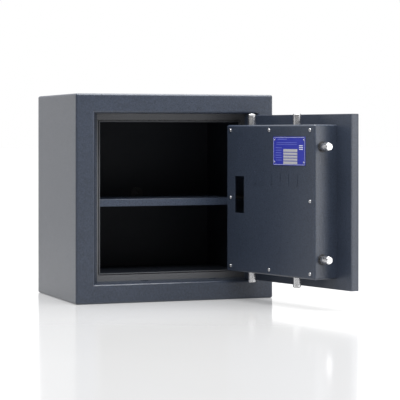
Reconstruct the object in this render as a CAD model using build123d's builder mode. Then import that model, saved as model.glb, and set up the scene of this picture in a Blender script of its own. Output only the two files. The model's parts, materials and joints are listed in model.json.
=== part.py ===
from build123d import *
from math import cos, radians, sin
import os

# A boxy steel safe with its door open, as separate pieces.
#
# Frame: origin in the middle of the base, +X to the right, +Y to the back, +Z up. All sizes in mm.
# The door is modelled open. Its own measures are "along" (from the hinge edge to the free edge),
# "in" (from the outer face towards the bolts) and height.

os.makedirs("parts", exist_ok=True)

# ---- driving dimensions ----------------------------------------------------------------------
body_width = 484
body_height = 480
body_depth = 325
sheet = 3
fold = 5
frame_lip = 12

lock_strip = 45
hinge_strip = 39
top_strip = 44.5
reveal_depth = 78
rear_wall = 35

door_open = 104
door_thickness = 23.5
door_face_sheet = 4
door_inner_sheet = 2
free_gap = 3
hinge_gap = 4
lower_gap = 1.5
upper_gap = 4
hinge_inset = 8.5
hinge_set_back = 10
pin_radius = 5
running_fit = 0.05

cover_depth = 62
cover_sheet = 2
bolt_radius = 9
bolt_in = 64.5
bolt_throw = 16.5
top_bolt_tip = 433.5
bottom_bolt_tip = 46

# ---- places worked out from them -------------------------------------------------------------
front_y = -body_depth / 2
opening_x = (-body_width / 2 + lock_strip, body_width / 2 - hinge_strip)
opening_z = (top_strip, body_height - top_strip)
lining_x = (opening_x[0] - sheet, opening_x[1] + sheet)
lining_z = (opening_z[0] - sheet, opening_z[1] + sheet)
lining_levels = (lining_z[0], opening_z[1])
cavity_x = (-body_width / 2 + sheet, body_width / 2 - sheet)
cavity_z = (sheet, body_height - sheet)
rear_panel_depth = body_depth - sheet

door_width = opening_x[1] - opening_x[0] - free_gap - hinge_gap
door_z = (opening_z[0] + lower_gap, opening_z[1] - upper_gap)
hinge_x = opening_x[1] - hinge_gap - hinge_inset
hinge_centre = (hinge_x, hinge_set_back)

cover_along = (15, 344)
cover_z = (70, 408)
cover_top = door_thickness + cover_depth

bolt_middle = (top_bolt_tip + bottom_bolt_tip) / 2
upright_bolts_along = (86, 255)
upright_bolt_centres = [(bolt_in, along) for along in upright_bolts_along]
side_bolts_z = (359.8, 113.6)
side_bolt_centres = [(z, bolt_in) for z in side_bolts_z]
side_bolt_tip = 371
bar_height = 10
bar_in = (53, 76)

spindle_along = 150
spindle_radius = 6
follower_radius = 3
follower_inner = 14

along_door = Vector(-cos(radians(door_open)), -sin(radians(door_open)), 0)
into_door = Vector(-sin(radians(door_open)), cos(radians(door_open)), 0)
hinge_axis = Vector(hinge_x, front_y + hinge_set_back, 0)
door_corner = hinge_axis - along_door * hinge_inset - into_door * hinge_set_back


# ---- planes ----------------------------------------------------------------------------------
def front_view(depth):
    """Seen from the front, a depth behind the front face: (x, z), extruded back by minus."""
    return Plane(origin=(0, front_y + depth, 0), x_dir=(1, 0, 0), z_dir=(0, -1, 0))


def body_level(z):
    """Seen from above at a height: (x, depth behind the front face)."""
    return Plane(origin=(0, front_y, z), x_dir=(1, 0, 0), z_dir=(0, 0, 1))


def body_side(x):
    """Seen from the right at a place across: (depth behind the front face, z)."""
    return Plane(origin=(x, front_y, 0), x_dir=(0, 1, 0), z_dir=(1, 0, 0))


def door_face(inwards):
    """Parallel to the door: (along, z), extruded inwards by plus."""
    return Plane(origin=door_corner + into_door * inwards, x_dir=along_door, z_dir=into_door)


def door_level(z):
    """Level, in the door's own directions: (in, along)."""
    return Plane(origin=door_corner + Vector(0, 0, z), x_dir=into_door, z_dir=(0, 0, 1))


def door_side(along):
    """Facing the door's free edge: (z, in)."""
    return Plane(origin=door_corner + along_door * along, x_dir=(0, 0, 1), z_dir=along_door)


def closed_x(along):
    """Where a place along the door comes to stand when the door is shut."""
    return hinge_x + hinge_inset - along


# ---- shapes used again and again -------------------------------------------------------------
def slab(plane, across, up, thickness, mode=Mode.ADD):
    """A flat block between two limits across and two limits up."""
    with BuildSketch(plane) as outline:
        with Locations(((across[0] + across[1]) / 2, (up[0] + up[1]) / 2)):
            Rectangle(abs(across[1] - across[0]), abs(up[1] - up[0]))
    extrude(outline.sketch, amount=thickness, mode=mode)


def rod(plane, centres, radius, length, mode=Mode.ADD):
    """Round rods or holes at a list of centres."""
    with BuildSketch(plane) as outline:
        with Locations(*centres):
            Circle(radius)
    extrude(outline.sketch, amount=length, mode=mode)


def upright_slot(plane, centre, height, width, thickness, mode=Mode.ADD):
    """A round-ended upright plate or hole."""
    with BuildSketch(plane) as outline:
        with Locations(centre):
            SlotOverall(height, width, rotation=90)
    extrude(outline.sketch, amount=thickness, mode=mode)


def keyhole(plane, thickness, mode=Mode.SUBTRACT):
    """The round eye and the slit below it that a key goes through."""
    with BuildSketch(plane) as outline:
        with Locations((key_along, key_z)):
            Circle(4)
        with Locations((key_along, key_z - 7)):
            Rectangle(4, 14)
    extrude(outline.sketch, amount=thickness, mode=mode)


def grown(limits, margin):
    """Two limits moved apart by a margin each."""
    return (limits[0] - margin, limits[1] + margin)


def inmost(part):
    """The face of a door piece that looks into the safe."""
    return part.faces().sort_by(Axis((0, 0, 0), into_door))[-1]


def outmost(part):
    """The face of a door piece that looks away from the safe."""
    return part.faces().sort_by(Axis((0, 0, 0), into_door))[0]


def save(piece, name):
    """Label a finished piece and write its STEP file."""
    piece.part.label = name
    export_step(piece.part, f"parts/{name}.step")


# ---- places of the fittings ------------------------------------------------------------------
shut_bolt_centres = [(closed_x(along), bolt_in) for along in upright_bolts_along]
frame_bolt_hole = bolt_radius + 0.75
socket_wall = 2.25
socket_length = 17
socket_radius = frame_bolt_hole + socket_wall

block_x = (hinge_x - 14.5, opening_x[1] + sheet)
block_depth = (sheet, 25)
block_height = 22
lower_block_z = (opening_z[0] - sheet - block_height, opening_z[0] - sheet)
upper_block_z = (opening_z[1] + sheet, opening_z[1] + sheet + block_height)

band_x = (-165.6, 191.5)
band_z = (58.7, 420.3)
band_sheet = 2
band_lip = 12
band_back = reveal_depth + band_sheet + band_lip
lip_x = grown(band_x, band_sheet)
lip_z = grown(band_z, band_sheet)
liner_sheet = 2.4
liner_x = (-161, 187)
liner_z = (63, 416)
liner_back = body_depth - rear_wall

anchor_bore = 7
anchor_outer = 9.5
anchor_flange = 15
anchor_flange_sheet = 1.2
rear_anchor = (0, 241.5)
floor_anchor = (13, 186)

shelf_sheet = 1.5
shelf_top = 235
shelf_lip = 17
shelf_depth = (95, 288)
stud_radius = 4
stud_length = 10
stud_places = [(depth, shelf_top - shelf_sheet - stud_radius) for depth in (130, 250)]
spigot_radius = 2.5
spigot_length = 8

screw_places = [
    (along, z)
    for along in (31, 179.5, 328)
    for z in (82, 240.5, 396)
    if (along, z) != (179.5, 240.5)
]

head_radius = 3.9
head_height = 2.2
screw_radius = 2
screw_length = 14

key_along = 70
key_z = 220
key_guide_centre = (key_along, key_z - 4)
lock_along = (42, 98)
lock_z = (198, 282)
lock_in = (door_thickness, 54)
lock_corners = [(along, z) for along in (48, 92) for z in (204, 276)]
lever_pivot = (56, 262)


# ---- body ------------------------------------------------------------------------------------
with BuildPart() as outer_casing:
    slab(front_view(frame_lip), grown((0, 0), body_width / 2), (0, body_height), frame_lip - body_depth)
    fillet(outer_casing.edges().filter_by(Axis.Y), fold)
    slab(front_view(frame_lip), cavity_x, cavity_z, frame_lip - body_depth, Mode.SUBTRACT)
    rod(body_level(0), [floor_anchor], anchor_outer, sheet, Mode.SUBTRACT)
save(outer_casing, "outer_casing")

with BuildPart() as front_frame:
    slab(front_view(0), grown((0, 0), body_width / 2), (0, body_height), -frame_lip)
    fillet(front_frame.edges().filter_by(Axis.Y), fold)
    fillet(front_frame.faces().sort_by(Axis.Y)[0].edges(), fold)
    slab(front_view(sheet), cavity_x, cavity_z, sheet - frame_lip, Mode.SUBTRACT)
    slab(front_view(sheet), lining_x, lining_z, sheet - frame_lip)
    slab(front_view(0), opening_x, opening_z, -frame_lip, Mode.SUBTRACT)
    fillet(front_frame.faces().sort_by(Axis.Y)[0].inner_wires()[0].edges(), fold)
    for level in lining_levels:
        rod(body_level(level), [hinge_centre], pin_radius, sheet, Mode.SUBTRACT)
save(front_frame, "front_frame")

with BuildPart() as doorway_lining:
    lining_length = reveal_depth - frame_lip
    slab(front_view(frame_lip), lining_x, lining_z, -lining_length)
    slab(front_view(frame_lip), opening_x, opening_z, -lining_length, Mode.SUBTRACT)
    for level in lining_levels:
        rod(body_level(level), shut_bolt_centres, frame_bolt_hole, sheet, Mode.SUBTRACT)
        rod(body_level(level), [hinge_centre], pin_radius, sheet, Mode.SUBTRACT)
save(doorway_lining, "doorway_lining")

with BuildPart() as rear_panel:
    slab(front_view(rear_panel_depth), cavity_x, cavity_z, -sheet)
    rod(front_view(rear_panel_depth), [rear_anchor], anchor_outer, -sheet, Mode.SUBTRACT)
save(rear_panel, "rear_panel")

with BuildPart() as stop_frame:
    slab(front_view(reveal_depth), lining_x, lining_z, -band_sheet)
    slab(front_view(reveal_depth), lip_x, lip_z, -band_sheet - band_lip)
    slab(front_view(reveal_depth), band_x, band_z, -band_sheet - band_lip, Mode.SUBTRACT)
save(stop_frame, "stop_frame")

outer_x = grown(liner_x, liner_sheet)
outer_z = grown(liner_z, liner_sheet)
liner_front = reveal_depth + 1

with BuildPart() as inner_liner:
    slab(front_view(liner_front), outer_x, outer_z, liner_front - liner_back)
    slab(front_view(liner_front), liner_x, liner_z, liner_front - liner_back, Mode.SUBTRACT)
    rod(body_level(outer_z[0]), [floor_anchor], anchor_outer, liner_sheet, Mode.SUBTRACT)
    rod(body_side(outer_x[0]), stud_places, spigot_radius, liner_sheet, Mode.SUBTRACT)
    rod(body_side(liner_x[1]), stud_places, spigot_radius, liner_sheet, Mode.SUBTRACT)
save(inner_liner, "inner_liner")

with BuildPart() as liner_rear_wall:
    slab(front_view(liner_back), outer_x, outer_z, -liner_sheet)
    rod(front_view(liner_back), [rear_anchor], anchor_outer, -liner_sheet, Mode.SUBTRACT)
save(liner_rear_wall, "liner_rear_wall")

with BuildPart() as barrier_filling:
    ring_back = reveal_depth + band_sheet
    slab(front_view(sheet), cavity_x, cavity_z, sheet - rear_panel_depth)
    slab(front_view(sheet), lining_x, lining_z, sheet - ring_back, Mode.SUBTRACT)
    slab(front_view(ring_back), lip_x, lip_z, -band_lip, Mode.SUBTRACT)
    slab(front_view(band_back), outer_x, outer_z, band_back - liner_back - liner_sheet, Mode.SUBTRACT)
    rod(front_view(liner_back), [rear_anchor], anchor_outer, -rear_wall, Mode.SUBTRACT)
    rod(body_level(sheet), [floor_anchor], anchor_outer, outer_z[0] - sheet, Mode.SUBTRACT)
    rod(body_side(outer_x[0]), stud_places, spigot_radius, liner_sheet - spigot_length, Mode.SUBTRACT)
    rod(body_side(outer_x[1]), stud_places, spigot_radius, spigot_length - liner_sheet, Mode.SUBTRACT)
    for level, way in ((upper_block_z[0], 1), (lower_block_z[1], -1)):
        slab(body_level(level), block_x, block_depth, way * block_height, Mode.SUBTRACT)
        socket_reach = way * (socket_length + socket_wall)
        rod(body_level(level), shut_bolt_centres, socket_radius, socket_reach, Mode.SUBTRACT)
save(barrier_filling, "barrier_filling")

with BuildPart() as bolt_sockets:
    for level, way in ((upper_block_z[0], 1), (lower_block_z[1], -1)):
        socket_reach = way * (socket_length + socket_wall)
        rod(body_level(level), shut_bolt_centres, socket_radius, socket_reach)
        rod(body_level(level), shut_bolt_centres, frame_bolt_hole, way * socket_length, Mode.SUBTRACT)
save(bolt_sockets, "bolt_sockets")

with BuildPart() as lock_side_keeper:
    keeper_front = 50
    keeper_width = 20
    keeper_x = (opening_x[0], opening_x[0] + keeper_width)
    hollow_x = (keeper_x[0], keeper_x[1] - sheet)
    hollow_front = keeper_front + sheet
    keeper_holes = [(bolt_in, z) for z in side_bolts_z]
    slab(front_view(keeper_front), keeper_x, opening_z, keeper_front - reveal_depth)
    slab(front_view(hollow_front), hollow_x, opening_z, hollow_front + sheet - reveal_depth, Mode.SUBTRACT)
    rod(body_side(hollow_x[1]), keeper_holes, frame_bolt_hole, sheet, Mode.SUBTRACT)
save(lock_side_keeper, "lock_side_keeper")

with BuildPart() as hinge_blocks:
    for block_z in (lower_block_z, upper_block_z):
        slab(body_level(block_z[0]), block_x, block_depth, block_height)
        rod(body_level(block_z[0]), [hinge_centre], pin_radius, block_height, Mode.SUBTRACT)
save(hinge_blocks, "hinge_blocks")

with BuildPart() as hinge_pins:
    pin_reach = 32
    lower_length = door_z[0] + pin_reach - lower_block_z[0]
    upper_length = upper_block_z[1] - door_z[1] + pin_reach
    rod(body_level(lower_block_z[0]), [hinge_centre], pin_radius, lower_length)
    rod(body_level(upper_block_z[1]), [hinge_centre], pin_radius, -upper_length)
    pin_ends = hinge_pins.faces().filter_by(Axis.Z).sort_by(Axis.Z)
    chamfer(pin_ends[1].edges() + pin_ends[2].edges(), 1)
save(hinge_pins, "hinge_pins")

with BuildPart() as hinge_washer:
    washer_radius = 9
    washer_clearance = 0.3
    rod(body_level(opening_z[0]), [hinge_centre], washer_radius, lower_gap - washer_clearance)
    rod(body_level(opening_z[0]), [hinge_centre], pin_radius, lower_gap, Mode.SUBTRACT)
save(hinge_washer, "hinge_washer")

with BuildPart() as rear_anchor_sleeve:
    flange_depth = liner_back - anchor_flange_sheet
    rod(front_view(flange_depth), [rear_anchor], anchor_flange, -anchor_flange_sheet)
    rod(front_view(flange_depth), [rear_anchor], anchor_outer, flange_depth - body_depth)
    rod(front_view(flange_depth), [rear_anchor], anchor_bore, flange_depth - body_depth, Mode.SUBTRACT)
save(rear_anchor_sleeve, "rear_anchor_sleeve")

with BuildPart() as floor_anchor_sleeve:
    rod(body_level(liner_z[0]), [floor_anchor], anchor_flange, anchor_flange_sheet)
    rod(body_level(0), [floor_anchor], anchor_outer, liner_z[0] + anchor_flange_sheet)
    rod(body_level(0), [floor_anchor], anchor_bore, liner_z[0] + anchor_flange_sheet, Mode.SUBTRACT)
save(floor_anchor_sleeve, "floor_anchor_sleeve")

with BuildPart() as shelf:
    side_clearance = 1
    edge_radius = 2
    shelf_x = grown(liner_x, -side_clearance)
    slab(body_level(shelf_top - shelf_lip), shelf_x, shelf_depth, shelf_lip)
    fillet(shelf.faces().sort_by(Axis.Z)[-1].edges().sort_by(Axis.Y)[0], edge_radius)
    under_depth = grown(shelf_depth, -shelf_sheet)
    slab(body_level(shelf_top - shelf_lip), shelf_x, under_depth, shelf_lip - shelf_sheet, Mode.SUBTRACT)
save(shelf, "shelf")

with BuildPart() as shelf_studs:
    for wall_x, way in ((liner_x[0], 1), (liner_x[1], -1)):
        rod(body_side(wall_x), stud_places, stud_radius, way * stud_length)
        rod(body_side(wall_x), stud_places, spigot_radius, -way * spigot_length)
save(shelf_studs, "shelf_studs")


# ---- door plates -----------------------------------------------------------------------------
door_along = (0, door_width)
seam = 0.8
rim_in = door_thickness - door_inner_sheet - seam
inside_along = grown(door_along, -sheet)
inside_z = grown(door_z, -sheet)
door_block_height = 31
pivot_centre = (hinge_set_back, hinge_inset)
rim_hole = pin_radius + 0.6
spindle_centre = (spindle_along, bolt_middle)
bush_radius = 9
guide_size = (34, 16)

with BuildPart() as door_outer_plate:
    slab(door_face(0), door_along, door_z, rim_in)
    fillet(outmost(door_outer_plate).edges(), fold)
    slab(door_face(door_face_sheet), inside_along, inside_z, rim_in - door_face_sheet, Mode.SUBTRACT)
    rod(door_level(door_z[0]), [pivot_centre], rim_hole, sheet, Mode.SUBTRACT)
    rod(door_level(inside_z[1]), [pivot_centre], rim_hole, sheet, Mode.SUBTRACT)
    rod(door_face(0), [spindle_centre], bush_radius, door_face_sheet, Mode.SUBTRACT)
    upright_slot(door_face(0), key_guide_centre, *guide_size, door_face_sheet, Mode.SUBTRACT)
save(door_outer_plate, "door_outer_plate")

with BuildPart() as door_inner_plate:
    slab(door_face(rim_in + seam), door_along, door_z, door_inner_sheet)
    plate_round = 1.2
    seam_step = 1.5
    fillet(inmost(door_inner_plate).edges(), plate_round)
    slab(door_face(rim_in), grown(door_along, -seam_step), grown(door_z, -seam_step), seam)
    rod(door_face(rim_in), [spindle_centre], bush_radius, seam + door_inner_sheet, Mode.SUBTRACT)
    upright_slot(door_face(rim_in), key_guide_centre, *guide_size, seam + door_inner_sheet, Mode.SUBTRACT)
save(door_inner_plate, "door_inner_plate")

filling_thickness = rim_in - door_face_sheet
door_block_along = (sheet, 20)
door_block_levels = (inside_z[0], inside_z[1] - door_block_height)

with BuildPart() as door_filling:
    slab(door_face(door_face_sheet), inside_along, inside_z, filling_thickness)
    for level in door_block_levels:
        block_z = (level, level + door_block_height)
        slab(door_face(door_face_sheet), door_block_along, block_z, filling_thickness, Mode.SUBTRACT)
    rod(door_face(door_face_sheet), [spindle_centre], bush_radius, filling_thickness, Mode.SUBTRACT)
    upright_slot(door_face(door_face_sheet), key_guide_centre, *guide_size, filling_thickness, Mode.SUBTRACT)
save(door_filling, "door_filling")

with BuildPart() as door_hinge_blocks:
    for level in door_block_levels:
        block_z = (level, level + door_block_height)
        slab(door_face(door_face_sheet), door_block_along, block_z, filling_thickness)
        rod(door_level(level), [pivot_centre], pin_radius + running_fit, door_block_height, Mode.SUBTRACT)
save(door_hinge_blocks, "door_hinge_blocks")


# ---- boltwork cover and what is fixed on it --------------------------------------------------
cover_fold = 4
cover_hole = bolt_radius + 0.4
slot_along = (48, 83.5)
slot_z = (205.6, 290.4)
rib_count = 6
rib_pitch = 31
rib_start = (124, 287)
rib_size = (30, 8)
rib_rise = 0.8

with BuildPart() as boltwork_cover:
    slab(door_face(door_thickness), cover_along, cover_z, cover_depth)
    fillet(boltwork_cover.edges().filter_by(Axis((0, 0, 0), into_door)), cover_fold)
    fillet(inmost(boltwork_cover).edges(), cover_fold)
    hollow_along = grown(cover_along, -cover_sheet)
    hollow_z = grown(cover_z, -cover_sheet)
    slab(door_face(door_thickness), hollow_along, hollow_z, cover_depth - cover_sheet, Mode.SUBTRACT)
    cover_height = cover_z[1] - cover_z[0]
    cover_inside = door_face(cover_top - cover_sheet)
    rod(door_level(cover_z[0]), upright_bolt_centres, cover_hole, cover_height, Mode.SUBTRACT)
    rod(door_side(hollow_along[1]), side_bolt_centres, cover_hole, cover_sheet, Mode.SUBTRACT)
    slab(cover_inside, slot_along, slot_z, cover_sheet, Mode.SUBTRACT)
    rod(cover_inside, screw_places, screw_radius + 0.2, cover_sheet, Mode.SUBTRACT)
    for rib in range(rib_count):
        rib_centre = (rib_start[0] + rib_pitch * rib, rib_start[1])
        upright_slot(door_face(cover_top), rib_centre, *rib_size, rib_rise)
save(boltwork_cover, "boltwork_cover")

with BuildPart() as cover_screws:
    rod(door_face(cover_top), screw_places, head_radius, head_height)
    head_faces = cover_screws.faces().group_by(Axis((0, 0, 0), into_door))[-1]
    fillet(head_faces.edges(), 1.5)
    rod(door_face(cover_top - screw_length), screw_places, screw_radius, screw_length)
    for turn in (0, 90):
        with BuildSketch(door_face(cover_top + head_height / 2)) as cross:
            with Locations(*screw_places):
                Rectangle(head_radius, 0.9, rotation=turn)
        extrude(cross.sketch, amount=head_height, mode=Mode.SUBTRACT)
save(cover_screws, "cover_screws")

with BuildPart() as cover_posts:
    post_radius = 5
    thread_length = screw_length - cover_sheet
    rod(door_face(door_thickness), screw_places, post_radius, cover_depth - cover_sheet)
    rod(door_face(cover_top - screw_length), screw_places, screw_radius, thread_length, Mode.SUBTRACT)
save(cover_posts, "cover_posts")

plate_along = (196, 312)
plate_z = (318, 381.7)
plate_sheet = 0.8
plate_top = cover_top + plate_sheet
rivet_places = [(along, z) for along in grown(plate_along, -5.5) for z in grown(plate_z, -7)]
panel_along = (233.6, 283.9)
panel_z = (321, 354)
panel_sheet = 0.3

with BuildPart() as rating_plate:
    slab(door_face(cover_top), plate_along, plate_z, plate_sheet)
    fillet(rating_plate.edges().filter_by(Axis((0, 0, 0), into_door)), 2.5)
save(rating_plate, "rating_plate")

with BuildPart() as plate_rivets:
    rod(door_face(plate_top), rivet_places, 1.8, 0.8)
    fillet(plate_rivets.faces().group_by(Axis((0, 0, 0), into_door))[-1].edges(), 0.6)
save(plate_rivets, "plate_rivets")

with BuildPart() as rating_panel:
    slab(door_face(plate_top), panel_along, panel_z, panel_sheet)
save(rating_panel, "rating_panel")


# ---- bolts, their bars and their guides ------------------------------------------------------
guide_reach = 17
guide_top = 80
guide_height = guide_top - door_thickness
guide_thickness = 10
guide_hole = bolt_radius + 0.1
bar_width = bar_in[1] - bar_in[0]
bar_offset = 125.25
bar_along = (72, 269)
tongue_thickness = 5
screw_shank = 4
screw_head = 6.5
screw_grip = 20
pin_start = 45.5
pin_length = 12.5

for name, way in (("top", 1), ("bottom", -1)):
    tip_z = bolt_middle + way * (top_bolt_tip - bolt_middle)
    bar_outer_z = bolt_middle + way * bar_offset
    bar_inner_z = bar_outer_z - way * bar_height
    follower_z = bolt_middle + way * follower_inner

    with BuildPart() as bolts:
        rod(door_level(bar_outer_z), upright_bolt_centres, bolt_radius, tip_z - bar_outer_z)
        tip_faces = bolts.faces().filter_by(Axis.Z).sort_by(Axis.Z)
        tips = tip_faces[-2:] if way > 0 else tip_faces[:2]
        chamfer(tips.edges(), 2)
        rod(door_level(bar_outer_z), upright_bolt_centres, screw_shank, way * screw_grip, Mode.SUBTRACT)
    save(bolts, f"{name}_bolts")

    with BuildPart() as bolt_bar:
        follower_centre = (spindle_along, follower_z)
        tongue_z = (follower_z - way * 5, bar_inner_z)
        slab(door_face(bar_in[0]), bar_along, (bar_inner_z, bar_outer_z), bar_width)
        slab(door_face(bar_in[0]), (140, 160), tongue_z, tongue_thickness)
        rod(door_level(bar_inner_z), upright_bolt_centres, screw_shank, way * bar_height, Mode.SUBTRACT)
        rod(door_face(bar_in[0]), [follower_centre], follower_radius, tongue_thickness, Mode.SUBTRACT)
    save(bolt_bar, f"{name}_bolt_bar")

    with BuildPart() as follower_pin:
        rod(door_face(pin_start), [follower_centre], follower_radius, pin_length)
    save(follower_pin, f"{name}_follower_pin")

    with BuildPart() as bolt_screws:
        rod(door_level(bar_inner_z), upright_bolt_centres, screw_head, -way * 5)
        rod(door_level(bar_inner_z), upright_bolt_centres, screw_shank, way * (bar_height + screw_grip))
    save(bolt_screws, f"{name}_bolt_screws")

    with BuildPart() as bolt_guides:
        guide_start = bolt_middle + way * 148.25
        guide_z = (guide_start, guide_start + way * guide_thickness)
        for along in upright_bolts_along:
            guide_along = grown((along, along), guide_reach)
            slab(door_face(door_thickness), guide_along, guide_z, guide_height)
        rod(door_level(guide_start), upright_bolt_centres, guide_hole, way * guide_thickness, Mode.SUBTRACT)
    save(bolt_guides, f"{name}_bolt_guides")

side_bar_along = (290, 300)
side_bar_z = (100, 374)
side_guide_along = (322, 332)
side_follower = (spindle_along + follower_inner, bolt_middle)

with BuildPart() as side_bolts:
    side_bolt_length = side_bolt_tip - side_bar_along[1]
    rod(door_side(side_bar_along[1]), side_bolt_centres, bolt_radius, side_bolt_length)
    tips = side_bolts.faces().group_by(Axis((0, 0, 0), along_door))[-1]
    chamfer(tips.edges(), 2)
    rod(door_side(side_bar_along[1]), side_bolt_centres, screw_shank, screw_grip, Mode.SUBTRACT)
save(side_bolts, "side_bolts")

with BuildPart() as side_bolt_bar:
    slab(door_face(bar_in[0]), side_bar_along, side_bar_z, bar_width)
    tongue_along = (side_follower[0] - 5, side_bar_along[0])
    slab(door_face(bar_in[0]), tongue_along, grown((bolt_middle, bolt_middle), 6), tongue_thickness)
    rod(door_side(side_bar_along[0]), side_bolt_centres, screw_shank, bar_height, Mode.SUBTRACT)
    rod(door_face(bar_in[0]), [side_follower], follower_radius, tongue_thickness, Mode.SUBTRACT)
save(side_bolt_bar, "side_bolt_bar")

with BuildPart() as side_follower_pin:
    rod(door_face(pin_start), [side_follower], follower_radius, pin_length)
save(side_follower_pin, "side_follower_pin")

with BuildPart() as side_bolt_screws:
    rod(door_side(side_bar_along[0]), side_bolt_centres, screw_head, -5)
    rod(door_side(side_bar_along[0]), side_bolt_centres, screw_shank, bar_height + screw_grip)
save(side_bolt_screws, "side_bolt_screws")

with BuildPart() as side_bolt_guides:
    for z in side_bolts_z:
        guide_z = grown((z, z), guide_reach)
        slab(door_face(door_thickness), side_guide_along, guide_z, guide_height)
    rod(door_side(side_guide_along[0]), side_bolt_centres, guide_hole, guide_thickness, Mode.SUBTRACT)
save(side_bolt_guides, "side_bolt_guides")


# ---- handle, spindle and drive disc ----------------------------------------------------------
disc_in = (46, 51)
disc_radius = 46
disc_thickness = disc_in[1] - disc_in[0]
hub_start = 30.5
slot_width = 8
notch_depth = 8
bush_in = (-6, 30)
blade_in = (-40, -28)
blade_length = 105
spindle_outer_end = -30


def spiral(start_angle):
    """The line of a drive slot: a quarter turn that runs outwards by the bolts' throw."""
    stations = []
    for share in (0, 0.5, 1):
        angle = radians(start_angle - 90 * share)
        reach = follower_inner + bolt_throw * share
        stations.append((spindle_along + reach * cos(angle), bolt_middle + reach * sin(angle)))
    return ThreePointArc(*stations)


slot_lines = [spiral(start_angle) for start_angle in (90, 0, 270)]

with BuildPart() as drive_disc:
    rod(door_face(disc_in[0]), [spindle_centre], disc_radius, disc_thickness)
    rod(door_face(hub_start), [spindle_centre], bush_radius, disc_in[0] - hub_start)
    rod(door_face(hub_start), [spindle_centre], spindle_radius, disc_in[1] - hub_start, Mode.SUBTRACT)
    with BuildSketch(door_face(disc_in[0])) as spiral_slots:
        for slot_line in slot_lines:
            SlotArc(slot_line, slot_width)
    extrude(spiral_slots.sketch, amount=disc_thickness, mode=Mode.SUBTRACT)
    notch_floor = disc_radius - notch_depth
    side_notch = (spindle_along - disc_radius - 1, spindle_along - notch_floor)
    top_notch = (bolt_middle + notch_floor, bolt_middle + disc_radius + 1)
    notch_z = grown((bolt_middle, bolt_middle), 7)
    notch_along = grown((spindle_along, spindle_along), 7)
    slab(door_face(disc_in[0]), side_notch, notch_z, disc_thickness, Mode.SUBTRACT)
    slab(door_face(disc_in[0]), notch_along, top_notch, disc_thickness, Mode.SUBTRACT)
save(drive_disc, "drive_disc")

with BuildPart() as disc_clip:
    rod(door_face(disc_in[1]), [spindle_centre], 8.5, 1)
    rod(door_face(disc_in[1]), [spindle_centre], spindle_radius, 1, Mode.SUBTRACT)
save(disc_clip, "disc_clip")

with BuildPart() as handle_spindle:
    spindle_length = disc_in[1] + 1 - spindle_outer_end
    rod(door_face(spindle_outer_end), [spindle_centre], spindle_radius, spindle_length)
save(handle_spindle, "handle_spindle")

with BuildPart() as handle_lever:
    hub_radius = 15
    hub_length = 21.5
    bore_length = blade_in[1] + hub_length - spindle_outer_end
    with BuildSketch(door_face(blade_in[0])) as blade:
        with Locations(spindle_centre):
            Circle(hub_radius)
        with Locations((spindle_along, bolt_middle - blade_length)):
            Circle(8)
        make_hull()
    extrude(amount=blade_in[1] - blade_in[0])
    rod(door_face(blade_in[1]), [spindle_centre], hub_radius, hub_length)
    fillet(outmost(handle_lever).edges(), 4)
    rod(door_face(spindle_outer_end), [spindle_centre], spindle_radius, bore_length, Mode.SUBTRACT)
save(handle_lever, "handle_lever")

with BuildPart() as handle_rose:
    rose_radius = 27
    rod(door_face(bush_in[0]), [spindle_centre], rose_radius, -bush_in[0])
    fillet(outmost(handle_rose).edges(), 3)
    rod(door_face(bush_in[0]), [spindle_centre], bush_radius, -bush_in[0], Mode.SUBTRACT)
save(handle_rose, "handle_rose")

with BuildPart() as spindle_bush:
    bush_length = bush_in[1] - bush_in[0]
    rod(door_face(bush_in[0]), [spindle_centre], bush_radius, bush_length)
    rod(door_face(door_thickness), [spindle_centre], 14, 3)
    rod(door_face(bush_in[0]), [spindle_centre], spindle_radius + running_fit, bush_length, Mode.SUBTRACT)
save(spindle_bush, "spindle_bush")


# ---- key lock --------------------------------------------------------------------------------
lock_depth = lock_in[1] - lock_in[0]
lock_floor = lock_in[0] + sheet
lock_inside_along = grown(lock_along, -sheet)
lock_inside_z = grown(lock_z, -sheet)
lock_screw_radius = 1.5
lock_screw_length = 12
cap_sheet = 2
thread_start = lock_in[1] + cap_sheet - lock_screw_length
lever_count = 5
lever_pitch = 3
lever_sheet = 2
pivot_radius = 3
plate_in = -1.5
flap_in = -3.4
rivet_in = -5.2

with BuildPart() as lock_case:
    slab(door_face(lock_in[0]), lock_along, lock_z, lock_depth)
    slab(door_face(lock_floor), lock_inside_along, lock_inside_z, lock_depth - sheet, Mode.SUBTRACT)
    rod(door_face(lock_in[0]), lock_corners, 4, lock_depth)
    rod(door_face(thread_start), lock_corners, lock_screw_radius, lock_screw_length, Mode.SUBTRACT)
    bolt_window = grown((bolt_middle, bolt_middle), 6.3)
    window_along = (lock_inside_along[1], lock_along[1])
    slab(door_face(disc_in[0] - 0.3), window_along, bolt_window, disc_thickness + 0.6, Mode.SUBTRACT)
    upright_slot(door_face(lock_in[0]), key_guide_centre, *guide_size, sheet, Mode.SUBTRACT)
save(lock_case, "lock_case")

with BuildPart() as lock_cap:
    slab(door_face(lock_in[1]), lock_along, lock_z, cap_sheet)
    rod(door_face(lock_in[1]), lock_corners, lock_screw_radius, cap_sheet, Mode.SUBTRACT)
save(lock_cap, "lock_cap")

with BuildPart() as lock_screws:
    rod(door_face(lock_in[1] + cap_sheet), lock_corners, 2 * lock_screw_radius, 2)
    rod(door_face(thread_start), lock_corners, lock_screw_radius, lock_screw_length)
save(lock_screws, "lock_screws")

with BuildPart() as lever_post:
    rod(door_face(lock_floor), [lever_pivot], pivot_radius, lock_depth - sheet)
save(lever_post, "lever_post")

with BuildPart() as lock_levers:
    for layer in range(lever_count):
        with BuildSketch(door_face(30 + lever_pitch * layer)) as lever_outline:
            with Locations(lever_pivot, (84, 247)):
                Circle(7)
            make_hull()
            with Locations((71, 244)):
                Rectangle(16, 14)
            with Locations(lever_pivot):
                Circle(pivot_radius + running_fit, mode=Mode.SUBTRACT)
        extrude(lever_outline.sketch, amount=lever_sheet)
save(lock_levers, "lock_levers")

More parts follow.
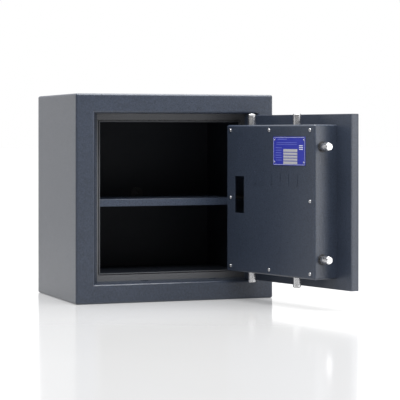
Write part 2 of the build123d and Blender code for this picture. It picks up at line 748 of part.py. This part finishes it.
with BuildPart() as lock_bolt:
    lock_bolt_z = grown((bolt_middle, bolt_middle), 6)
    key_notch_z = (lock_bolt_z[0], lock_bolt_z[0] + 3)
    slab(door_face(disc_in[0]), (60, 102), lock_bolt_z, disc_thickness)
    slab(door_face(disc_in[0]), (66, 74), key_notch_z, disc_thickness, Mode.SUBTRACT)
save(lock_bolt, "lock_bolt")

with BuildPart() as key_guide:
    upright_slot(door_face(0), key_guide_centre, *guide_size, lock_floor)
    keyhole(door_face(0), lock_floor)
save(key_guide, "key_guide")

cover_pivot = (key_along, key_z + 14)
plate_centre = (key_along, key_z + 2)
rivet_shank = 2
flap_sheet = 1.5

with BuildPart() as keyhole_plate:
    upright_slot(door_face(plate_in), plate_centre, 56, 26, -plate_in)
    keyhole(door_face(plate_in), -plate_in)
    rod(door_face(plate_in), [cover_pivot], rivet_shank, -plate_in, Mode.SUBTRACT)
save(keyhole_plate, "keyhole_plate")

with BuildPart() as keyhole_cover:
    upright_slot(door_face(flap_in), plate_centre, 40, 16, flap_sheet)
    fillet(outmost(keyhole_cover).edges(), 0.6)
    rod(door_face(flap_in), [cover_pivot], rivet_shank + running_fit, flap_sheet, Mode.SUBTRACT)
save(keyhole_cover, "keyhole_cover")

with BuildPart() as keyhole_rivet:
    rod(door_face(rivet_in), [cover_pivot], 4, flap_sheet)
    fillet(outmost(keyhole_rivet).edges(), 1)
    shank_start = rivet_in + flap_sheet
    rod(door_face(shank_start), [cover_pivot], rivet_shank, -shank_start)
save(keyhole_rivet, "keyhole_rivet")
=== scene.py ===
import json
import math

import bmesh
import bpy
from mathutils import Matrix, Vector

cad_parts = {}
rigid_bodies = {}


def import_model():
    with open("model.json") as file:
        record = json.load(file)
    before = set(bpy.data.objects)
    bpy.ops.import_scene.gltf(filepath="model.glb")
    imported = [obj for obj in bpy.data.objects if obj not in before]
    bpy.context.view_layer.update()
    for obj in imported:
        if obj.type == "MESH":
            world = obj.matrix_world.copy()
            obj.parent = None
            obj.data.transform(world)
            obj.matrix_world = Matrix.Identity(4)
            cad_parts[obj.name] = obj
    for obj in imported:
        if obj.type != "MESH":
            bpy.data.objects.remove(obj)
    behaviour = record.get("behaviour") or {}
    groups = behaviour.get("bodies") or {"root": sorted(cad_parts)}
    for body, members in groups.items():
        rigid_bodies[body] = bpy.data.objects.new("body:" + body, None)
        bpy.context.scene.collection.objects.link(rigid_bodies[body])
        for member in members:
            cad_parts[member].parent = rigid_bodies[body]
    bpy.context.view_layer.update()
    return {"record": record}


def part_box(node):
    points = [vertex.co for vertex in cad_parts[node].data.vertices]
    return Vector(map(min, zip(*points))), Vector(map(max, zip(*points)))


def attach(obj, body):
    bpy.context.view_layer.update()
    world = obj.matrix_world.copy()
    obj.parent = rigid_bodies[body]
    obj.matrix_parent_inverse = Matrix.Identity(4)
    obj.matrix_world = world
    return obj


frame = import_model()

mm = 0.001

# ---- the door's own directions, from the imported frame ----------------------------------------
joints = {joint["name"]: joint for joint in frame["record"]["behaviour"]["joints"]}
along_door = Vector(joints["side_bolt_slide"]["axis"])
into_door = Vector(joints["handle_turn"]["axis"])
upwards = Vector((0, 0, 1))


def door_matrix(centre):
    """A frame whose x runs along the door, y up and z inwards."""
    axes = Matrix((along_door, upwards, into_door)).transposed()
    return Matrix.Translation(centre) @ axes.to_4x4()


def middle(node):
    """The middle of a node's box."""
    low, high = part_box(node)
    return (Vector(low) + Vector(high)) / 2


def reach_of(node, direction):
    """How far the farthest point of a node lies along a direction."""
    mesh = bpy.data.objects[node].data
    return max(vertex.co.dot(direction) for vertex in mesh.vertices)


# ---- shader helpers --------------------------------------------------------------------------
class Shader:
    """A node material with a Principled shader and short calls for what it needs."""

    def __init__(self, name, color, roughness, metallic=0.0, **sockets):
        self.material = bpy.data.materials.new(name)
        self.material.use_nodes = True
        self.nodes = self.material.node_tree.nodes
        self.links = self.material.node_tree.links
        self.principled = self.nodes["Principled BSDF"]
        self.principled.inputs["Base Color"].default_value = (*color, 1)
        self.principled.inputs["Roughness"].default_value = roughness
        self.principled.inputs["Metallic"].default_value = metallic
        for socket, value in sockets.items():
            self.principled.inputs[socket.replace("_", " ")].default_value = value
        self.position = self.nodes.new("ShaderNodeTexCoord").outputs["Object"]
        self.last_normal = None

    def distance_along(self, direction):
        """The coordinate along one direction."""
        product = self.nodes.new("ShaderNodeVectorMath")
        product.operation = "DOT_PRODUCT"
        product.inputs[1].default_value = direction
        self.links.new(self.position, product.inputs[0])
        return product.outputs["Value"]

    def noise(self, scale, detail=3.0, roughness=0.55, vector=None):
        texture = self.nodes.new("ShaderNodeTexNoise")
        texture.inputs["Scale"].default_value = scale
        texture.inputs["Detail"].default_value = detail
        texture.inputs["Roughness"].default_value = roughness
        self.links.new(vector or self.position, texture.inputs["Vector"])
        return texture.outputs["Fac"]

    def lines(self, direction, scale):
        """Fine parallel grooves across a direction, as a lathe or a brush leaves them."""
        texture = self.nodes.new("ShaderNodeTexNoise")
        texture.noise_dimensions = "1D"
        texture.inputs["Scale"].default_value = scale
        texture.inputs["Detail"].default_value = 4.0
        self.links.new(self.distance_along(direction), texture.inputs["W"])
        return texture.outputs["Fac"]

    def cells(self, scale, smoothness=0.6):
        texture = self.nodes.new("ShaderNodeTexVoronoi")
        texture.feature = "SMOOTH_F1"
        texture.inputs["Scale"].default_value = scale
        texture.inputs["Smoothness"].default_value = smoothness
        self.links.new(self.position, texture.inputs["Vector"])
        return texture.outputs["Distance"]

    def scaled(self, value, low, high, start=0.0, end=1.0):
        """A value mapped from start..end to low..high."""
        mapped = self.nodes.new("ShaderNodeMapRange")
        mapped.inputs["From Min"].default_value = start
        mapped.inputs["From Max"].default_value = end
        mapped.inputs["To Min"].default_value = low
        mapped.inputs["To Max"].default_value = high
        self.links.new(value, mapped.inputs["Value"])
        return mapped.outputs["Result"]

    def between(self, value, dark, light, start=0.3, end=0.7):
        """A colour that runs from dark to light as the value rises."""
        ramp = self.nodes.new("ShaderNodeValToRGB")
        ramp.color_ramp.elements[0].position = start
        ramp.color_ramp.elements[0].color = (*dark, 1)
        ramp.color_ramp.elements[1].position = end
        ramp.color_ramp.elements[1].color = (*light, 1)
        self.links.new(value, ramp.inputs["Fac"])
        return ramp.outputs["Color"]

    def color(self, output):
        self.links.new(output, self.principled.inputs["Base Color"])

    def roughness(self, output):
        self.links.new(output, self.principled.inputs["Roughness"])

    def bump(self, height, strength, depth):
        bump = self.nodes.new("ShaderNodeBump")
        bump.inputs["Strength"].default_value = strength
        bump.inputs["Distance"].default_value = depth
        self.links.new(height, bump.inputs["Height"])
        if self.last_normal:
            self.links.new(self.last_normal, bump.inputs["Normal"])
        self.last_normal = bump.outputs["Normal"]
        self.links.new(self.last_normal, self.principled.inputs["Normal"])


def shade(color, factor):
    """A colour made lighter or darker."""
    return tuple(min(1.0, channel * factor) for channel in color)


# ---- materials -------------------------------------------------------------------------------
def hammer_paint(name, color, roughness=0.29, grain=0.5):
    """Textured powder paint: raised rounded grains, slightly uneven colour and gloss."""
    paint = Shader(name, color, roughness, Specular_IOR_Level=0.62)
    grains = paint.cells(430)
    cloud = paint.noise(9, 4)
    speckle = paint.noise(330, 5)
    tone = paint.between(speckle, shade(color, 0.68), shade(color, 1.4))
    drift = paint.nodes.new("ShaderNodeMixRGB")
    drift.blend_type = "MULTIPLY"
    drift.inputs["Fac"].default_value = 1.0
    paint.links.new(tone, drift.inputs["Color1"])
    paint.links.new(paint.between(cloud, (0.90, 0.91, 0.93), (1.0, 1.0, 1.0)), drift.inputs["Color2"])
    paint.color(drift.outputs["Color"])
    paint.roughness(paint.scaled(grains, roughness - 0.05, roughness + 0.12, 0.0, 0.9))
    paint.bump(grains, grain, 0.35 * mm)
    paint.bump(paint.noise(190, 3), 0.3, 0.4 * mm)
    return paint.material


def smooth_paint(name, color, roughness, gloss=0.5):
    """Sprayed primer paint: a faint orange peel and a little dust-like mottle."""
    paint = Shader(name, color, roughness, Specular_IOR_Level=gloss)
    paint.color(paint.between(paint.noise(700, 3), shade(color, 0.82), shade(color, 1.2)))
    paint.roughness(paint.scaled(paint.noise(60, 3), roughness - 0.06, roughness + 0.1))
    paint.bump(paint.noise(420, 2), 0.3, 0.12 * mm)
    return paint.material


def liner_paint_painted_highlight(front_edge):
    """The black interior paint, with a painted highlight: a grey line on the liner's front edge, standing
    in for the light that falls there.
    """
    painted_highlight_grey = (0.12, 0.125, 0.135)
    line_width = 2 * mm
    paint = Shader("liner_paint_painted_highlight", interior_black, 0.55, Specular_IOR_Level=0.3)
    # painted highlight: the liner's first 2 mm behind its front edge are coloured grey instead of black
    depth = paint.scaled(paint.distance_along((0, 1, 0)), 0.0, 1.0, front_edge, front_edge + line_width)
    paint.color(paint.between(depth, painted_highlight_grey, interior_black, 0.4, 0.6))
    paint.roughness(paint.scaled(paint.noise(60, 3), 0.49, 0.65))
    paint.bump(paint.noise(420, 2), 0.3, 0.12 * mm)
    return paint.material


def turned_steel(name, axis, color=(0.66, 0.66, 0.67), roughness=0.24):
    """Bright turned bar: fine rings round its axis and small stains."""
    steel = Shader(name, color, roughness, metallic=1.0)
    rings = steel.lines(axis, 2600)
    steel.color(steel.between(rings, shade(color, 0.86), shade(color, 1.08)))
    steel.roughness(steel.scaled(steel.noise(240, 3), roughness - 0.05, roughness + 0.13))
    steel.bump(rings, 0.22, 0.06 * mm)
    return steel.material


def brushed_metal(name, color, roughness, axis):
    """Plated or brushed sheet with a straight grain."""
    metal = Shader(name, color, roughness, metallic=1.0)
    grain = metal.lines(axis, 1800)
    cloud = metal.noise(35, 4)
    metal.color(metal.between(cloud, shade(color, 0.84), shade(color, 1.06)))
    metal.roughness(metal.scaled(cloud, roughness - 0.06, roughness + 0.12))
    metal.bump(grain, 0.25, 0.05 * mm)
    return metal.material


def poured_filling():
    """Rough mineral mix with small stones and pores."""
    color = (0.33, 0.32, 0.30)
    mix = Shader("poured_filling", color, 0.9)
    mix.color(mix.between(mix.noise(220, 5), shade(color, 0.6), shade(color, 1.3)))
    mix.bump(mix.cells(160, 0.3), 0.8, 1.2 * mm)
    mix.bump(mix.noise(900, 4), 0.5, 0.4 * mm)
    return mix.material


def printed_plate():
    """Blue enamel on a thin metal plate, with a soft sheen and light print grain."""
    color = (0.022, 0.030, 0.30)
    plate = Shader("printed_blue_plate", color, 0.36, Specular_IOR_Level=0.5)
    plate.color(plate.between(plate.noise(1400, 2), shade(color, 0.82), shade(color, 1.2)))
    plate.roughness(plate.scaled(plate.noise(80, 3), 0.30, 0.44))
    plate.bump(plate.noise(600, 3), 0.2, 0.05 * mm)
    return plate.material


def print_ink(name, color):
    """Screen-printed ink: slightly patchy, satin."""
    ink = Shader(name, color, 0.45)
    ink.color(ink.between(ink.noise(1600, 3), shade(color, 0.86), shade(color, 1.1)))
    ink.bump(ink.noise(1200, 2), 0.15, 0.03 * mm)
    return ink.material


def moulded_plastic(name, color):
    """Black moulded plastic with a fine spark-eroded texture."""
    plastic = Shader(name, color, 0.5)
    plastic.color(plastic.between(plastic.noise(500, 3), shade(color, 0.8), shade(color, 1.4)))
    plastic.roughness(plastic.scaled(plastic.noise(120, 3), 0.42, 0.58))
    plastic.bump(plastic.noise(1500, 3), 0.35, 0.08 * mm)
    return plastic.material


interior_black = (0.0048, 0.0066, 0.0112)
body_blue = (0.029, 0.038, 0.058)
materials = {
    "hammer_paint": hammer_paint("hammer_paint_blue_grey", body_blue),
    "frame_paint": smooth_paint("frame_paint_grey", (0.135, 0.138, 0.146), 0.36),
    "interior_paint": smooth_paint("interior_paint_black", interior_black, 0.55, 0.3),
    "zinc_steel": brushed_metal("zinc_plate", (0.50, 0.51, 0.52), 0.36, upwards),
    "filling_mix": poured_filling(),
    "blue_plate": printed_plate(),
    "label_panel": print_ink("pale_print_field", (0.40, 0.40, 0.41)),
    "brass_part": brushed_metal("brass_stamping", (0.66, 0.48, 0.20), 0.32, along_door),
    "black_plastic": moulded_plastic("black_plastic", (0.018, 0.018, 0.020)),
    "handle_metal": brushed_metal("satin_handle_metal", (0.60, 0.61, 0.62), 0.27, along_door),
    "bright_steel": turned_steel("turned_steel_upright", upwards),
}
steel_along = turned_steel("turned_steel_along", along_door)
steel_inwards = turned_steel("turned_steel_inwards", into_door)
# Painted light: the shelf gets the body's hammer paint made 1.75 times lighter, brightening it as the top
# lamp would.
shelf_paint_painted_light = hammer_paint("shelf_paint_painted_light", shade(body_blue, 1.75), 0.28, 0.15)
black_steel = smooth_paint("black_oxide_steel", (0.008, 0.008, 0.009), 0.5, 0.3)
special = {
    "side_bolts": steel_along,
    "side_bolt_screws": steel_along,
    "handle_spindle": steel_inwards,
    "cover_screws": steel_inwards,
    "plate_rivets": steel_inwards,
    "top_follower_pin": steel_inwards,
    "bottom_follower_pin": steel_inwards,
    "side_follower_pin": steel_inwards,
    "disc_clip": steel_inwards,
    "lock_screws": steel_inwards,
    "lever_post": steel_inwards,
    "shelf": shelf_paint_painted_light,
    "inner_liner": liner_paint_painted_highlight(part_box("inner_liner")[0][1]),
    "cover_posts": black_steel,
    "rear_anchor_sleeve": moulded_plastic("anchor_sleeve_plastic", (0.0022, 0.0022, 0.0026)),
}
for subpart in frame["record"]["subparts"]:
    node = bpy.data.objects[subpart["node"]]
    material = special.get(subpart["node"], materials[subpart["material_slot"]])
    for material_slot in node.material_slots:
        material_slot.material = material


# ---- visual pieces on the door ---------------------------------------------------------------
def finished(name, mesh, material, body):
    """Make an object of a mesh, give it its material, and let it ride on a body."""
    piece = bpy.data.objects.new(name, mesh)
    bpy.context.scene.collection.objects.link(piece)
    piece.data.materials.append(material)
    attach(piece, body)
    return piece


def flat_bars(name, rows, thickness, matrix, material):
    """Thin rounded bars, each row given as (centre x, centre y, width, height)."""
    shape = bmesh.new()
    for x, y, width, height in rows:
        made = bmesh.ops.create_cube(shape, size=1.0)
        place = Matrix.Translation((x, y, thickness / 2)) @ Matrix.Diagonal((width, height, thickness, 1))
        bmesh.ops.transform(shape, matrix=place, verts=made["verts"])
    bmesh.ops.bevel(shape, geom=list(shape.edges), offset=thickness * 0.3, segments=2, affect="EDGES")
    bmesh.ops.transform(shape, matrix=matrix, verts=shape.verts)
    bmesh.ops.recalc_face_normals(shape, faces=shape.faces)
    mesh = bpy.data.meshes.new(name)
    shape.to_mesh(mesh)
    shape.free()
    return finished(name, mesh, material, "door")


def ring(name, inner, outer, height, matrix, material, body):
    """A turned ring with rounded edges, about the matrix's z axis."""
    steps = 64
    soft = height * 0.35
    profile = [
        (inner, 0), (outer, 0), (outer, height - soft), (outer - soft * 0.3, height - soft * 0.3),
        (outer - soft, height), (inner + soft * 0.3, height), (inner, height - soft * 0.3),
    ]
    shape = bmesh.new()
    loops = []
    for step in range(steps):
        angle = 2 * math.pi * step / steps
        loops.append([
            shape.verts.new((radius * math.cos(angle), radius * math.sin(angle), level))
            for radius, level in profile
        ])
    for step in range(steps):
        here, there = loops[step], loops[(step + 1) % steps]
        for corner in range(len(profile)):
            after = (corner + 1) % len(profile)
            shape.faces.new((here[corner], there[corner], there[after], here[after]))
    bmesh.ops.transform(shape, matrix=matrix, verts=shape.verts)
    bmesh.ops.recalc_face_normals(shape, faces=shape.faces)
    mesh = bpy.data.meshes.new(name)
    shape.to_mesh(mesh)
    shape.free()
    for face in mesh.polygons:
        face.use_smooth = True
    return finished(name, mesh, material, body)


def door_point(node, inwards):
    """The middle of a node, moved to a given distance along the inward direction."""
    point = middle(node)
    return point + into_door * (inwards - point.dot(into_door))


# Print on the rating plate: plain bars and rules, with no lettering.
white_ink = print_ink("white_print_ink", (0.55, 0.57, 0.68))
faint_ink = print_ink("faint_print_ink", (0.13, 0.15, 0.50))
plate_place = door_matrix(door_point("rating_plate", reach_of("rating_plate", into_door)))
panel_middle = door_point("rating_panel", reach_of("rating_panel", into_door))

row_pitch = 6.5 * mm
panel_rules = [(0, level * row_pitch, 50.3 * mm, 1.5 * mm) for level in (-2, -1, 0, 1)]
flat_bars(
    "rating_panel_rules", panel_rules, 0.12 * mm,
    door_matrix(panel_middle + upwards * 3.2 * mm), materials["blue_plate"],
)

captions = [(-25 * mm, 26 * mm, 34 * mm, 1.6 * mm)]
captions += [(-9 * mm, level * mm, 74 * mm, 1.0 * mm) for level in (18.5, 14.5)]
captions += [(-38 * mm, level * mm, 22 * mm, 1.3 * mm) for level in (7, 1.5, -4, -9.5, -15, -20.5)]
flat_bars("rating_plate_captions", captions, 0.1 * mm, plate_place, faint_ink)

border = [(0, side * 30.2 * mm, 110 * mm, 0.7 * mm) for side in (-1, 1)]
border += [(side * 56.2 * mm, 0, 0.7 * mm, 58 * mm) for side in (-1, 1)]
border += [(43 * mm, level * mm, 14 * mm, 2.0 * mm) for level in (12, 8, 4)]
flat_bars("rating_plate_border", border, 0.1 * mm, plate_place, white_ink)

# Black plastic rings where the side bolts leave the cover, as painted shade: they stand in for the shadow
# and dark reflection round each bolt's base.
bolt_radius = 9 * mm
side_low, side_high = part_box("side_bolts")
cover_end = reach_of("boltwork_cover", along_door)
bolt_inwards = reach_of("side_bolts", into_door) - bolt_radius
towards_free_edge = Matrix((upwards, into_door, along_door)).transposed().to_4x4()
ring_heights = {
    "side_bolt_shade_ring_upper": side_high[2] - bolt_radius,
    "side_bolt_shade_ring_lower": side_low[2] + bolt_radius,
}
for name, height in ring_heights.items():
    place = Matrix.Translation(along_door * cover_end + into_door * bolt_inwards + upwards * height)
    ring(
        name, 9.3 * mm, 12 * mm, 1.2 * mm, place @ towards_free_edge,
        materials["black_plastic"], "door",
    )

# A black plastic plug closes the anchor hole until it is used.
anchor = middle("rear_anchor_sleeve")
anchor_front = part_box("rear_anchor_sleeve")[0][1]
plug_place = Matrix.Translation((anchor.x, anchor_front + 3 * mm, anchor.z))
towards_back = Matrix(((1, 0, 0), (0, 0, -1), (0, 1, 0))).transposed().to_4x4()
ring(
    "rear_anchor_plug", 0.2 * mm, 6.9 * mm, 2 * mm, plug_place @ towards_back,
    materials["black_plastic"], "body",
)


# ---- stage, light and camera -----------------------------------------------------------------
def studio_floor():
    """A pale floor with a faint gloss."""
    mesh = bpy.data.meshes.new("studio_floor")
    half = 40.0
    corners = [(-half, -half, 0), (half, -half, 0), (half, half, 0), (-half, half, 0)]
    mesh.from_pydata(corners, [], [(0, 1, 2, 3)])
    floor = bpy.data.objects.new("studio_floor", mesh)
    bpy.context.scene.collection.objects.link(floor)
    surface = Shader("studio_floor", (0.36, 0.36, 0.36), 0.12, Specular_IOR_Level=0.5)
    surface.color(surface.between(surface.noise(2.0, 2), (0.355, 0.355, 0.357), (0.365, 0.365, 0.367)))
    surface.principled.inputs["Emission Color"].default_value = (1, 1, 1, 1)
    surface.principled.inputs["Emission Strength"].default_value = 0.26
    mesh.materials.append(surface.material)


def studio_world():
    """A white studio: bright behind and above, dimmer low down in front."""
    world = bpy.data.worlds.new("studio_world")
    bpy.context.scene.world = world
    world.use_nodes = True
    nodes = world.node_tree.nodes
    links = world.node_tree.links
    direction = nodes.new("ShaderNodeSeparateXYZ")
    links.new(nodes.new("ShaderNodeTexCoord").outputs["Generated"], direction.inputs["Vector"])

    def mapped(output, start, end, low, high):
        node = nodes.new("ShaderNodeMapRange")
        node.interpolation_type = "SMOOTHSTEP"
        node.inputs["From Min"].default_value = start
        node.inputs["From Max"].default_value = end
        node.inputs["To Min"].default_value = low
        node.inputs["To Max"].default_value = high
        links.new(output, node.inputs["Value"])
        return node.outputs["Result"]

    behind = mapped(direction.outputs["Y"], -0.1, 0.5, 0.0, 1.0)
    front_level = mapped(direction.outputs["Z"], -0.05, 0.6, 0.10, 0.40)
    mix = nodes.new("ShaderNodeMix")
    mix.inputs["B"].default_value = 1.0
    links.new(behind, mix.inputs["Factor"])
    links.new(front_level, mix.inputs["A"])
    background = nodes["Background"]
    links.new(mix.outputs["Result"], background.inputs["Strength"])
    background.inputs["Color"].default_value = (1.0, 1.0, 1.0, 1)


def softbox(name, place, target, width, height, power):
    """A large rectangular soft light that looks at a target."""
    data = bpy.data.lights.new(name, "AREA")
    data.shape = "RECTANGLE"
    data.size = width
    data.size_y = height
    data.energy = power
    lamp = bpy.data.objects.new(name, data)
    lamp.location = place
    lamp.rotation_euler = (Vector(target) - Vector(place)).to_track_quat("-Z", "Y").to_euler()
    bpy.context.scene.collection.objects.link(lamp)


def photo_camera():
    """The camera: level, a little below the safe's top, from the front left with a long lens."""
    data = bpy.data.cameras.new("photo_camera")
    data.lens = 151.49
    data.sensor_width = 36
    data.shift_y = -0.1633
    data.clip_end = 200
    camera = bpy.data.objects.new("photo_camera", data)
    camera.location = (-1.3199, -3.8297, 0.3860)
    camera.rotation_euler = (math.radians(90), 0, math.radians(-20.5925))
    bpy.context.scene.collection.objects.link(camera)
    bpy.context.scene.camera = camera


studio_floor()
studio_world()
safe_middle = (0, 0, 0.24)
softbox("top_softbox", (0.1, -0.85, 2.5), (0.1, -0.85, 0), 2.6, 3.4, 205)
softbox("front_right_softbox", (3.0, -3.0, 1.1), safe_middle, 1.8, 2.0, 46)
photo_camera()
bpy.context.scene.view_settings.view_transform = "Standard"
